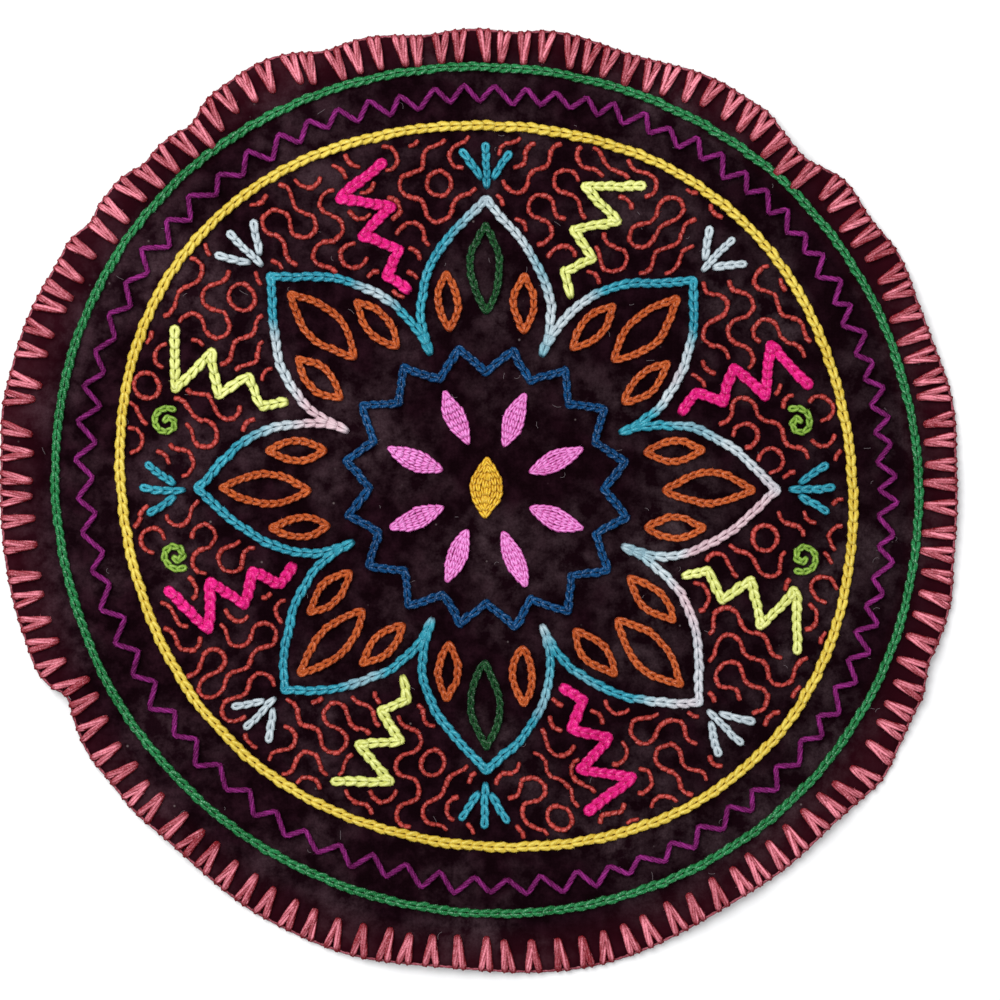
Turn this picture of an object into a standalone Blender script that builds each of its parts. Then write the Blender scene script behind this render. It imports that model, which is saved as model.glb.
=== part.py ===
"""Round mat of dark cotton, worked in bright yarn, as it lies flat on a floor.

Metres, +Z up, +Y at the top of the design. The origin is on the floor, under the middle of the
mat's own box. The yarn is laid in solid beads just clear of the cloth: a bead holds the width
and height of its line of stitches, and the turns of each stitch are left out.
"""

import math
import random
from collections import namedtuple

import bmesh
import bpy
from mathutils import Vector
from mathutils.bvhtree import BVHTree

MM = 0.001
EDGE_SEED = 18
PURPLE_SEED = 41

# The cloth is one round panel. It rests on a flat middle with a few corners, curls up a little
# from there, and ripples from LIFT_START out to its edge.
CLOTH_RADIUS = 247.3 * MM
CLOTH_THICKNESS = 1.5 * MM
REST_CORNERS = 8
REST_RADIUS = 190.0 * MM
LIFT_START = 204.0 * MM
EDGE_CURL = 0.6 * MM
TIP_LIFT_SHARE = 0.45

# Yarn stands this high on the cloth, over a running gap.
YARN_GAP = 0.35 * MM
YARN_HEIGHT = 1.5 * MM
YARN_CROWN = 0.28
PAD_CROWN = 0.8
MITRE_LIMIT = 1.8

# Pairs of long stitches meet in a point inside the edge, and a cord of loops runs along the rim.
# No two are alike: SHIFT is a share of the pitch, SWAY of half the base, and SPREAD of the base.
# CROWD is the share by which they stand closer together than the mean at its bearing, in degrees.
WEDGES = 125
WEDGE_CROWD = 0.065
WEDGE_CROWD_BEARING = 60
WEDGE_LENGTH = 14.4 * MM
WEDGE_LENGTH_SPREAD = 1.0 * MM
WEDGE_BASE = 8.0 * MM
WEDGE_TIP = 4.8 * MM
WEDGE_SHIFT = 0.16
WEDGE_SWAY = 0.5
WEDGE_SPREAD = (0.85, 1.12)
WEDGE_TIP_HEIGHT = 0.8 * YARN_HEIGHT
TIP_RING_INSET = 16.6 * MM
RIM_WIDTH = 1.8 * MM
RIM_SHOULDER = 0.6 * YARN_HEIGHT
RIM_FOOT = 0.15 * MM
RIM_TOE = 0.65 * MM

# Stitched rings, at their mean radius.
GREEN_RADIUS = 223.4 * MM
PURPLE_RADIUS = 208.6 * MM
YELLOW_RADIUS = 191.8 * MM
GREEN_WIDTH = 4.6 * MM
PURPLE_WIDTH = 2.8 * MM
YELLOW_WIDTH = 5.2 * MM
RING_STEPS = 156
PURPLE_TEETH = 77
PURPLE_SWING = 4.6 * MM
PURPLE_JITTER = 1.3 * MM
PURPLE_CROWD = 0.14
PURPLE_CROWD_BEARING = 30

# The middle: a daisy, a zigzag ring, eight petals and eight zigzag rays.
PETALS = 8
PETAL_FOOT = 76.0 * MM
PETAL_TIP = 152.0 * MM
PETAL_ROUNDNESS = 1.2
PETAL_STEPS = 8
PETAL_WIDTH = 5.0 * MM
BLUE_RADIUS = 68.0 * MM
BLUE_TEETH = 16
BLUE_SWING = 6.5 * MM
BLUE_WIDTH = 4.6 * MM
RAY_FOOT = 110.0 * MM
RAY_TIP = 177.0 * MM
RAY_TEETH = 6
RAY_SWING_FOOT = 2.5 * MM
RAY_SWING_TIP = 15.0 * MM
RAY_WIDTH = 5.2 * MM
DAISY_RADIUS = 39.0 * MM
DAISY_LEAF = (32.0 * MM, 11.5 * MM)
HEART_LEAF = (34.0 * MM, 17.0 * MM)
PETAL_LEAF_RADIUS = 116.0 * MM
PETAL_LEAF = (46.0 * MM, 16.0 * MM)
DARK_LEAVES = (3, 7)
SIDE_LEAF_RADIUS = 100.0 * MM
SIDE_LEAF_TURN = 11.5
SIDE_LEAF_LEAN = 10.0
SIDE_LEAF = (30.0 * MM, 11.0 * MM)
LEAF_LINE = 4.2 * MM
LEAF_STEPS = 7

# Outside the petals: a spray of three short bars at each tip, and curls beside two of the petals.
SPRAY_FOOT = 159.0 * MM
SPRAY_BAR = 22.0 * MM
SPRAY_TURN = 34.0
SPRAY_LINE = 4.0 * MM
CURLED_PETALS = (0, 4)
CURL_RADIUS = 168.0 * MM
CURL_TURN = 12.0
CURL_REACH = (1.6 * MM, 8.0 * MM)
CURL_LAPS = 1.3
CURL_STEPS = 14
CURL_LINE = 3.4 * MM

Fold = namedtuple("Fold", "bearing_deg out_mm lift_mm")
Wander = namedtuple("Wander", "lobes swing_mm crest_deg")

# Places round the edge where the cloth turns, from one ripple to the next: how far the edge
# stands out of its plain outline there, or is drawn in, and how high it lifts off the floor.
EDGE_FOLDS = (
    Fold(1, -1.2, 3.0),
    Fold(11, 1.6, 0.3),
    Fold(23, -1.4, 4.0),
    Fold(30, 1.4, 0.8),
    Fold(35, -0.5, 2.6),
    Fold(40, 1.3, 0.5),
    Fold(46, -4.0, 6.6),
    Fold(60, 3.0, 0.0),
    Fold(72, -1.1, 4.0),
    Fold(80, 1.2, 0.5),
    Fold(97, -2.9, 5.4),
    Fold(109, -0.9, 3.0),
    Fold(118, 4.7, 0.0),
    Fold(131, -3.7, 6.0),
    Fold(139, -0.6, 3.2),
    Fold(146, -1.5, 3.8),
    Fold(160, 1.7, 0.0),
    Fold(178, -1.7, 3.4),
    Fold(200, 2.3, 0.0),
    Fold(207, -4.6, 5.0),
    Fold(216, 0.6, 1.2),
    Fold(222, 1.2, 0.6),
    Fold(228, -1.2, 3.0),
    Fold(245, 1.2, 0.0),
    Fold(264, -2.5, 4.4),
    Fold(282, 1.9, 0.0),
    Fold(302, -1.8, 3.8),
    Fold(308, -0.9, 2.0),
    Fold(315, -1.6, 3.4),
    Fold(324, 2.5, 0.0),
    Fold(339, -1.3, 3.4),
    Fold(346, 0.8, 1.0),
    Fold(352, -1.5, 2.4),
)

# How each outline wanders from a true circle.
EDGE_WANDER = (Wander(1, 3.8, 247), Wander(2, 3.3, 152), Wander(3, 2.0, 41), Wander(5, 1.2, 39))
GREEN_WANDER = (Wander(1, 0.9, 1), Wander(2, 3.6, 154), Wander(3, 0.7, 35), Wander(4, 0.9, 47))
PURPLE_WANDER = (Wander(1, 1.8, 10), Wander(2, 3.4, 146), Wander(3, 1.6, 44), Wander(4, 1.4, 50))
YELLOW_WANDER = (Wander(1, 2.4, 53), Wander(2, 4.6, 144), Wander(3, 0.9, 51), Wander(4, 2.7, 48))


def clear_scene():
    for thing in list(bpy.data.objects):
        bpy.data.objects.remove(thing)


def yarn_finish(name, colour):
    """A matt material; colour is linear red, green and blue."""
    material = bpy.data.materials.new(name)
    material.use_nodes = True
    shader = material.node_tree.nodes["Principled BSDF"]
    shader.inputs["Base Color"].default_value = (*colour, 1.0)
    shader.inputs["Roughness"].default_value = 0.85
    shader.inputs["Metallic"].default_value = 0.0
    return material


def wandering(radius, wander, bearing):
    """A ring's radius at a bearing in radians."""
    return radius + MM * sum(
        row.swing_mm * math.cos(row.lobes * (bearing - math.radians(row.crest_deg))) for row in wander
    )


def edge_fold(bearing):
    """How far out and how high the edge is at a bearing, eased from one fold to the next."""
    turn = math.degrees(bearing)
    for here, after in zip(EDGE_FOLDS, EDGE_FOLDS[1:] + EDGE_FOLDS[:1]):
        span = (after.bearing_deg - here.bearing_deg) % 360
        along = (turn - here.bearing_deg) % 360
        if along <= span:
            share = 0.5 - 0.5 * math.cos(math.pi * along / span)
            out_mm = here.out_mm + (after.out_mm - here.out_mm) * share
            lift_mm = here.lift_mm + (after.lift_mm - here.lift_mm) * share
            return out_mm * MM, lift_mm * MM
    raise ValueError("the fold rows go once round the edge")


def edge_radius(bearing):
    return wandering(CLOTH_RADIUS, EDGE_WANDER, bearing) + edge_fold(bearing)[0]


def under_height(bearing, share):
    """The cloth's underside outside its flat middle, at a share of the edge's own lift."""
    return EDGE_CURL + edge_fold(bearing)[1] * share


def yellow_radius(bearing):
    return wandering(YELLOW_RADIUS, YELLOW_WANDER, bearing)


def polar(radius, bearing):
    return Vector((radius * math.cos(bearing), radius * math.sin(bearing)))


def drawn(point):
    """A point of the middle's plain drawing, moved as the yellow ring round it wanders."""
    bearing = math.atan2(point.y, point.x)
    return point * (yellow_radius(bearing) / YELLOW_RADIUS)


def finished(name, bm, finish):
    """Turns a built shape into a named object with its own material."""
    bmesh.ops.recalc_face_normals(bm, faces=bm.faces)
    mesh = bpy.data.meshes.new(name)
    bm.to_mesh(mesh)
    bm.free()
    mesh.materials.append(finish)
    mesh.shade_smooth()
    mesh.set_sharp_from_angle(angle=math.radians(40))
    thing = bpy.data.objects.new(name, mesh)
    bpy.context.scene.collection.objects.link(thing)
    return thing


def bridge(bm, lower, upper):
    """Quads between two closed rows of points."""
    count = len(lower)
    for i in range(count):
        j = (i + 1) % count
        bm.faces.new((lower[i], lower[j], upper[j], upper[i]))


def fan_out(bm, corners, loop, bearings):
    """Triangles from a few corners out to a loop of many points."""
    sectors = [int(b * len(corners) / (2 * math.pi)) % len(corners) for b in bearings]
    for i in range(len(loop)):
        j = (i + 1) % len(loop)
        here, after = corners[sectors[i]], corners[sectors[j]]
        bm.faces.new((loop[i], loop[j], here))
        if after is not here:
            bm.faces.new((loop[j], after, here))


def crowded(bearing, crowd, at_degrees):
    """A bearing moved so that what stood evenly round a ring stands closer together at one place."""
    return bearing - crowd * math.sin(bearing - math.radians(at_degrees))


def wedge_marks():
    """Each wedge's two foot bearings at the rim, its point's bearing and its length."""
    hand = random.Random(EDGE_SEED)
    pitch = 2 * math.pi / WEDGES
    half_base = WEDGE_BASE / CLOTH_RADIUS / 2
    marks = []
    for i in range(WEDGES):
        even = (i + WEDGE_SHIFT * hand.uniform(-1, 1)) * pitch
        middle = crowded(even, WEDGE_CROWD, WEDGE_CROWD_BEARING)
        sway = WEDGE_SWAY * hand.uniform(-1, 1) * half_base
        half = half_base * hand.uniform(*WEDGE_SPREAD)
        length = WEDGE_LENGTH + WEDGE_LENGTH_SPREAD * hand.uniform(-1, 1)
        marks.append((middle - half, middle + half, middle + sway, length))
    return marks


def build_cloth(marks, finish):
    """The panel: flat in the middle, with its rippled edge carried up and down by the folds."""
    bearings = [b for left, right, _, _ in marks for b in (left, right)]
    corner_bearings = [2 * math.pi * (i + 0.5) / REST_CORNERS for i in range(REST_CORNERS)]
    rows = (
        (lambda b: LIFT_START, 0.0),
        (lambda b: edge_radius(b) - TIP_RING_INSET, TIP_LIFT_SHARE),
        (edge_radius, 1.0),
    )
    bm = bmesh.new()
    loops = []
    for radius_at, share in rows:
        for level in (0.0, CLOTH_THICKNESS):
            loop = []
            for b in bearings:
                x, y = polar(radius_at(b), b)
                loop.append(bm.verts.new((x, y, under_height(b, share) + level)))
            loops.append(loop)
    flat_under, flat_top, tip_under, tip_top, rim_under, rim_top = loops
    for level, loop in ((0.0, flat_under), (CLOTH_THICKNESS, flat_top)):
        corners = [bm.verts.new((*polar(REST_RADIUS, b), level)) for b in corner_bearings]
        bm.faces.new(corners)
        fan_out(bm, corners, loop, bearings)
    bridge(bm, flat_top, tip_top)
    bridge(bm, tip_top, rim_top)
    bridge(bm, rim_top, rim_under)
    bridge(bm, rim_under, tip_under)
    bridge(bm, tip_under, flat_under)
    bmesh.ops.recalc_face_normals(bm, faces=bm.faces)
    bmesh.ops.triangulate(bm, faces=bm.faces)
    tree = BVHTree.FromBMesh(bm)
    finished("ground_cloth", bm, finish)
    return tree


def cloth_top(tree, x, y):
    """The height of the cloth's upper face under a point."""
    above = Vector((x, y, 1.0))
    return tree.ray_cast(above, Vector((0, 0, -1)))[0].z


def build_edge_stitching(marks, finish):
    """The rim cord and the wedges on the cloth, one piece of yarn work all round the edge."""
    bm = bmesh.new()
    outer_top, outer_foot, inner_foot, comb_under, comb_top = [], [], [], [], []
    for left, right, point, length in marks:
        for b in (left, right):
            lift = under_height(b, 1)
            seat = lift + CLOTH_THICKNESS + YARN_GAP
            inner = polar(edge_radius(b) + YARN_GAP, b)
            outer = polar(edge_radius(b) + YARN_GAP + RIM_WIDTH, b)
            outer_top.append(bm.verts.new((*outer, seat + RIM_SHOULDER)))
            outer_foot.append(bm.verts.new((*outer, lift + RIM_TOE)))
            inner_foot.append(bm.verts.new((*inner, lift + RIM_FOOT)))
            comb_under.append(bm.verts.new((*inner, seat)))
            comb_top.append(bm.verts.new((*inner, seat + YARN_HEIGHT)))
            if b == left:
                continue
            # The wedge's point, on the cloth, between this foot and the one before.
            share = 1 - (1 - TIP_LIFT_SHARE) * length / TIP_RING_INSET
            half_tip = WEDGE_TIP / CLOTH_RADIUS / 2
            tips = []
            for side in (-half_tip, half_tip):
                spot = polar(edge_radius(point) - length, point + side)
                height = under_height(point + side, share) + CLOTH_THICKNESS + YARN_GAP
                under = bm.verts.new((*spot, height))
                tips.append((under, bm.verts.new((*spot, height + WEDGE_TIP_HEIGHT))))
            feet_under, feet_top = comb_under[-2:], comb_top[-2:]
            bm.faces.new((*feet_under, tips[1][0], tips[0][0]))
            bm.faces.new((*feet_top, tips[1][1], tips[0][1]))
            bm.faces.new((feet_under[0], feet_top[0], tips[0][1], tips[0][0]))
            bm.faces.new((tips[0][0], tips[0][1], tips[1][1], tips[1][0]))
            bm.faces.new((feet_under[1], feet_top[1], tips[1][1], tips[1][0]))
    bridge(bm, comb_top, outer_top)
    bridge(bm, outer_top, outer_foot)
    bridge(bm, outer_foot, inner_foot)
    bridge(bm, inner_foot, comb_under)
    count = len(comb_under)
    for i in range(1, count, 2):
        j = (i + 1) % count
        bm.faces.new((comb_under[i], comb_under[j], comb_top[j], comb_top[i]))
    bmesh.ops.triangulate(bm, faces=bm.faces)
    return finished("edge_stitching", bm, finish)


def mitre(before, here, after):
    """The sideways step at a corner, a unit long on a straight run."""
    way_in = (here - before).normalized()
    way_out = (after - here).normalized()
    along = (way_in + way_out).normalized()
    across = Vector((-along.y, along.x))
    return across * min(MITRE_LIMIT, 1 / max(0.1, way_in.dot(along)))


def lay_yarn(name, tree, route, width, closed, finish):
    """A bead of stitches along a route, over the cloth under it."""
    bm = bmesh.new()
    count = len(route)
    rings = []
    for i, here in enumerate(route):
        before = route[i - 1] if closed or i > 0 else here * 2 - route[1]
        after = route[(i + 1) % count] if closed or i < count - 1 else here * 2 - route[i - 1]
        step = mitre(before, here, after) * width
        ring = []
        for across, up in ((-0.5, 0), (0.5, 0), (YARN_CROWN, YARN_HEIGHT), (-YARN_CROWN, YARN_HEIGHT)):
            x, y = here + step * across
            ring.append(bm.verts.new((x, y, cloth_top(tree, x, y) + YARN_GAP + up)))
        rings.append(ring)
    for i in range(count if closed else count - 1):
        bridge(bm, rings[i], rings[(i + 1) % count])
    if not closed:
        bm.faces.new(rings[0])
        bm.faces.new(rings[-1])
    bmesh.ops.recalc_face_normals(bm, faces=bm.faces)
    bmesh.ops.triangulate(bm, faces=bm.faces)
    return finished(name, bm, finish)


def ring_route(radius, wander, steps):
    """An even ring of points."""
    bearings = [2 * math.pi * i / steps for i in range(steps)]
    return [polar(wandering(radius, wander, b), b) for b in bearings]


def purple_route():
    """A ring that steps out and in, once for each tooth, with each corner a little off its place."""
    hand = random.Random(PURPLE_SEED)
    route = []
    for i in range(2 * PURPLE_TEETH):
        b = crowded(math.pi * i / PURPLE_TEETH, PURPLE_CROWD, PURPLE_CROWD_BEARING)
        radius = wandering(PURPLE_RADIUS, PURPLE_WANDER, b) + (PURPLE_SWING if i % 2 else -PURPLE_SWING)
        off = Vector((hand.uniform(-1, 1), hand.uniform(-1, 1)))
        route.append(polar(radius, b) + off * PURPLE_JITTER)
    return route


def blue_route():
    """A ring in the middle that steps out and in, once for each tooth."""
    route = []
    for i in range(2 * BLUE_TEETH):
        side = BLUE_SWING if i % 2 else -BLUE_SWING
        route.append(drawn(polar(BLUE_RADIUS + side, math.pi * i / BLUE_TEETH)))
    return route


def petal_route():
    """One closed line round all the petals, from foot to tip to foot."""
    route = []
    half_turn = math.pi / PETALS
    for petal in range(PETALS):
        middle = 2 * half_turn * petal
        for side in (-1, 1):
            for i in range(PETAL_STEPS):
                share = i / PETAL_STEPS if side < 0 else 1 - i / PETAL_STEPS
                spread = half_turn * (1 - share**2) ** PETAL_ROUNDNESS
                radius = PETAL_FOOT + (PETAL_TIP - PETAL_FOOT) * share
                route.append(drawn(polar(radius, middle + side * spread)))
    return route


def ray_route(bearing):
    """A zigzag from between two petals' feet out towards the yellow ring, wider as it goes."""
    along = polar(1, bearing)
    across = Vector((-along.y, along.x))
    route = []
    for i in range(RAY_TEETH + 1):
        share = i / RAY_TEETH
        swing = RAY_SWING_FOOT + (RAY_SWING_TIP - RAY_SWING_FOOT) * share
        side = swing if i % 2 else -swing
        route.append(drawn(along * (RAY_FOOT + (RAY_TIP - RAY_FOOT) * share) + across * side))
    return route


def leaf_route(radius, bearing, size, lean=0):
    """A pointed leaf's outline, with its length along the bearing or leaning off it."""
    length, width = size
    along = polar(1, bearing + lean)
    across = Vector((-along.y, along.x))
    centre = polar(radius, bearing)
    route = []
    for side in (1, -1):
        for i in range(LEAF_STEPS):
            share = i / LEAF_STEPS if side > 0 else 1 - i / LEAF_STEPS
            reach = length * (share - 0.5)
            bulge = side * width / 2 * math.sin(math.pi * share)
            route.append(drawn(centre + along * reach + across * bulge))
    return route


def spray_route(bearing):
    """The outline of three short bars that spread from one foot."""
    foot = polar(SPRAY_FOOT, bearing)
    half_line = SPRAY_LINE / 2
    half_turn = math.radians(SPRAY_TURN) / 2
    route = []
    for bar in (-1, 0, 1):
        way = bearing + 2 * half_turn * bar
        along = polar(1, way)
        across = Vector((-along.y, along.x)) * half_line
        if bar == -1:
            route.append(foot - across)
        else:
            route.append(foot + polar(half_line / math.sin(half_turn), way - half_turn))
        route.append(foot + along * SPRAY_BAR - across)
        route.append(foot + along * SPRAY_BAR + across)
    route.append(foot + across)
    return [drawn(point) for point in route]


def curl_route(bearing, hand):
    """A spiral line about a place beside a petal's tip, wound to the left or the right."""
    inner, outer = CURL_REACH
    centre = polar(CURL_RADIUS, bearing)
    route = []
    for i in range(CURL_STEPS + 1):
        share = i / CURL_STEPS
        reach = inner + (outer - inner) * share
        route.append(drawn(centre + polar(reach, bearing + hand * 2 * math.pi * CURL_LAPS * share)))
    return route


def lay_pad(name, tree, route, crown, finish):
    """A shape filled with stitches: a low pad, its upper face drawn in by the crown."""
    middle = sum(route, Vector((0, 0))) / len(route)
    foot = cloth_top(tree, *middle) + YARN_GAP
    bm = bmesh.new()
    under = [bm.verts.new((*point, foot)) for point in route]
    face = bm.faces.new(under)
    raised = bmesh.ops.extrude_face_region(bm, geom=[face])["geom"]
    for vert in (part for part in raised if isinstance(part, bmesh.types.BMVert)):
        vert.co.xy = middle + (vert.co.xy - middle) * crown
        vert.co.z += YARN_HEIGHT
    bmesh.ops.triangulate(bm, faces=bm.faces)
    return finished(name, bm, finish)


def build_middle(tree):
    """The design inside the yellow ring."""
    turquoise = yarn_finish("turquoise_yarn", (0.05, 0.42, 0.55))
    blue = yarn_finish("blue_yarn", (0.008, 0.10, 0.34))
    lime = yarn_finish("lime_yarn", (0.72, 0.85, 0.16))
    magenta = yarn_finish("magenta_yarn", (0.83, 0.012, 0.19))
    rose = yarn_finish("rose_yarn", (0.80, 0.17, 0.55))
    gold = yarn_finish("gold_yarn", (0.90, 0.45, 0.02))
    orange = yarn_finish("orange_yarn", (0.56, 0.10, 0.02))
    dark_green = yarn_finish("dark_green_yarn", (0.011, 0.085, 0.026))
    leaf_green = yarn_finish("leaf_green_yarn", (0.23, 0.45, 0.06))
    ice = yarn_finish("ice_yarn", (0.60, 0.66, 0.70))
    lay_yarn("petal_outline", tree, petal_route(), PETAL_WIDTH, True, turquoise)
    lay_yarn("blue_zigzag_ring", tree, blue_route(), BLUE_WIDTH, True, blue)
    lay_pad("heart_leaf", tree, leaf_route(0, math.pi / 2, HEART_LEAF), PAD_CROWN, gold)
    for i in range(PETALS):
        count = i + 1
        bearing = 2 * math.pi * i / PETALS
        between = bearing + math.pi / PETALS
        ray_name, ray_finish = ("lime_ray", lime) if i % 2 else ("magenta_ray", magenta)
        lay_yarn(f"{ray_name}_{i // 2 + 1}", tree, ray_route(between), RAY_WIDTH, False, ray_finish)
        daisy_leaf = leaf_route(DAISY_RADIUS, between, DAISY_LEAF)
        lay_pad(f"daisy_leaf_{count}", tree, daisy_leaf, PAD_CROWN, rose)
        petal_leaf = leaf_route(PETAL_LEAF_RADIUS, bearing, PETAL_LEAF)
        leaf_finish = dark_green if count in DARK_LEAVES else orange
        lay_yarn(f"petal_leaf_{count}", tree, petal_leaf, LEAF_LINE, True, leaf_finish)
        lay_pad(f"tip_spray_{count}", tree, spray_route(bearing), 1.0, ice if i % 2 else turquoise)
        for side, hand in (("right", -1), ("left", 1)):
            turned = bearing + hand * math.radians(SIDE_LEAF_TURN)
            lean = -hand * math.radians(SIDE_LEAF_LEAN)
            side_leaf = leaf_route(SIDE_LEAF_RADIUS, turned, SIDE_LEAF, lean)
            lay_yarn(f"{side}_leaf_{count}", tree, side_leaf, LEAF_LINE, True, orange)
            if i in CURLED_PETALS:
                curl = curl_route(bearing + hand * math.radians(CURL_TURN), hand)
                lay_yarn(f"{side}_curl_{count}", tree, curl, CURL_LINE, False, leaf_green)


def centre_on_floor():
    """Moves every piece alike, so that the mat's box stands over the origin."""
    pieces = list(bpy.data.objects)
    corners = [vert.co for piece in pieces for vert in piece.data.vertices]
    middle = [(min(c[axis] for c in corners) + max(c[axis] for c in corners)) / 2 for axis in (0, 1)]
    for piece in pieces:
        for vert in piece.data.vertices:
            vert.co.x -= middle[0]
            vert.co.y -= middle[1]


def build():
    clear_scene()
    marks = wedge_marks()
    tree = build_cloth(marks, yarn_finish("dark_cotton", (0.018, 0.008, 0.010)))
    build_edge_stitching(marks, yarn_finish("pink_yarn", (0.68, 0.15, 0.19)))
    green = yarn_finish("green_yarn", (0.012, 0.26, 0.06))
    purple = yarn_finish("purple_yarn", (0.27, 0.018, 0.22))
    yellow = yarn_finish("yellow_yarn", (0.83, 0.66, 0.06))
    green_route = ring_route(GREEN_RADIUS, GREEN_WANDER, RING_STEPS)
    lay_yarn("green_ring", tree, green_route, GREEN_WIDTH, True, green)
    lay_yarn("purple_zigzag", tree, purple_route(), PURPLE_WIDTH, True, purple)
    yellow_route = ring_route(YELLOW_RADIUS, YELLOW_WANDER, RING_STEPS)
    lay_yarn("yellow_ring", tree, yellow_route, YELLOW_WIDTH, True, yellow)
    build_middle(tree)
    centre_on_floor()


build()
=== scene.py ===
import math
import random
from functools import reduce

import bpy
import numpy as np
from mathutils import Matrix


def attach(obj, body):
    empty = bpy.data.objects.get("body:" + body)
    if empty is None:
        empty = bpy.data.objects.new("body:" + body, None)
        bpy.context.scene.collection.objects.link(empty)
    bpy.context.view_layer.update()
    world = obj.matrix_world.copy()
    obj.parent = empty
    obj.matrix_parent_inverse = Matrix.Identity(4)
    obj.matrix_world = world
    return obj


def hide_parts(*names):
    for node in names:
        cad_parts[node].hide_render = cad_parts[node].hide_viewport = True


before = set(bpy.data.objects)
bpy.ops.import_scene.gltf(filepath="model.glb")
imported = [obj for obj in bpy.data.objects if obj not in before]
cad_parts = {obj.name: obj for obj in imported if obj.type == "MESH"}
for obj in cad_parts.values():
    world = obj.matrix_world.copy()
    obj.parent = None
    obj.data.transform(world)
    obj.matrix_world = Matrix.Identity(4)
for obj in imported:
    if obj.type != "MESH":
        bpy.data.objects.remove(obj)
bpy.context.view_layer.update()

# The ground cloth
# One round panel of dark plain-weave cotton, cut out by hand. It lies flat in the middle, ripples
# towards its edge, and is drawn in a little along each ring of stitches. All else is sewn to it.
MM = 0.001
CLOTH_FACE = 1.5 * MM
CLOTH_THICKNESS = 0.7 * MM
FLAT_RADIUS = 178.0 * MM
LIFT_START = 204.0 * MM
EDGE_CURL = 0.6 * MM
LIFT_CURVE = 1.65
WEDGES = 125
WEDGE_CROWD = 0.065
WEDGE_CROWD_BEARING = 60.0
COLUMNS_TO_A_WEDGE = 4
CLOTH_ROWS = 64
PUCKER = 0.3 * MM
TROUGH_DEPTH = 0.2 * MM
TROUGH_WIDTH = 4.0 * MM
THREAD_PITCH = 0.75 * MM
SPOKE_APART = math.radians(0.05)

# Soft creases left in the cloth: each one's middle, the way it runs, its length, width and height.
CREASES = (
    # x_mm, y_mm, bearing_deg, length_mm, width_mm, height_mm
    (-196.0, -62.0, 55.0, 46.0, 7.0, 0.7),
    (-168.0, 128.0, 20.0, 40.0, 8.0, 0.6),
    (60.0, 205.0, 75.0, 34.0, 7.0, 0.6),
    (176.0, 118.0, 100.0, 44.0, 8.0, 0.7),
    (206.0, -36.0, 12.0, 30.0, 7.0, 0.5),
    (92.0, -190.0, 120.0, 38.0, 8.0, 0.6),
    (-104.0, -176.0, 78.0, 42.0, 7.0, 0.7),
    (-60.0, 60.0, 160.0, 52.0, 11.0, 0.4),
    (70.0, -58.0, 35.0, 48.0, 10.0, 0.4),
)

# Kinks in the rim, where the edge stitching pulls it in or lets it out, by their place and width round it.
RIM_KINKS = (
    # bearing_deg, out_mm, width_deg
    (17.0, -0.9, 4.5),
    (35.0, -1.0, 4.0),
    (46.0, -2.2, 3.0),
    (53.0, 1.7, 2.0),
    (71.0, -1.0, 7.0),
    (86.5, -2.3, 3.0),
    (98.0, -2.0, 3.5),
    (110.0, -2.0, 3.0),
    (125.0, 1.5, 2.2),
    (129.0, -2.4, 1.6),
    (136.5, -3.2, 2.0),
    (146.0, -2.0, 1.2),
    (149.5, 1.5, 2.0),
    (170.5, 1.3, 3.0),
    (203.5, 2.6, 3.0),
    (206.5, -2.6, 1.2),
    (212.0, 2.2, 4.5),
    (226.0, 1.6, 9.0),
    (240.0, 2.0, 7.0),
    (254.0, 2.5, 7.5),
    (287.0, 1.2, 9.0),
    (324.0, 1.6, 2.5),
    (334.5, 1.5, 1.8),
    (338.5, -1.1, 1.5),
)

# How the stitched rings wander from true circles: lobes round the ring, swing in mm, crest in degrees.
GREEN_RADIUS = 223.4 * MM
PURPLE_RADIUS = 208.6 * MM
YELLOW_RADIUS = 191.8 * MM
GREEN_WANDER = ((1, 0.9, 1), (2, 3.6, 154), (3, 0.7, 35), (4, 0.9, 47))
PURPLE_WANDER = ((1, 1.8, 10), (2, 3.4, 146), (3, 1.6, 44), (4, 1.4, 50))
YELLOW_WANDER = ((1, 2.4, 53), (2, 4.6, 144), (3, 0.9, 51), (4, 2.7, 48))


def wandering(radius, wander, bearing):
    """A ring's radius at bearings in radians."""
    return radius + MM * sum(
        swing * np.cos(lobes * (bearing - math.radians(crest))) for lobes, swing, crest in wander
    )


def crowded(bearing, crowd, at_degrees):
    """Bearings moved so that what stood evenly round a ring stands closer together at one place."""
    return bearing - crowd * np.sin(bearing - math.radians(at_degrees))


def cad_cloth_rim():
    """The design's own centre on the floor, and the bearing, radius and lift of the solid cloth's rim."""
    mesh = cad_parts["ground_cloth"].data
    corners = np.array([vertex.co for vertex in mesh.vertices])
    resting = corners[corners[:, 2] < 0.01 * MM]
    centre = (resting.min(axis=0) + resting.max(axis=0))[:2] / 2
    across, up = (corners[:, :2] - centre).T
    radius, bearing = np.hypot(across, up), np.arctan2(up, across)
    order = np.argsort(bearing)
    spokes = np.split(order, np.flatnonzero(np.diff(bearing[order]) > SPOKE_APART) + 1)
    rim = []
    for spoke in spokes:
        edge = radius[spoke].max()
        if edge > LIFT_START + 1 * MM:
            top = corners[spoke][radius[spoke] > edge - 0.1 * MM][:, 2].max()
            rim.append((bearing[spoke[0]], edge, top - CLOTH_FACE - EDGE_CURL))
    return centre, np.array(rim).T


RING_CENTRE, (RIM_BEARING, RIM_RADIUS, RIM_LIFT) = cad_cloth_rim()


def polar(radius, bearing):
    """Plan points at distances and bearings from the design's centre."""
    return np.stack((radius * np.cos(bearing), radius * np.sin(bearing)), axis=-1)


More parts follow.
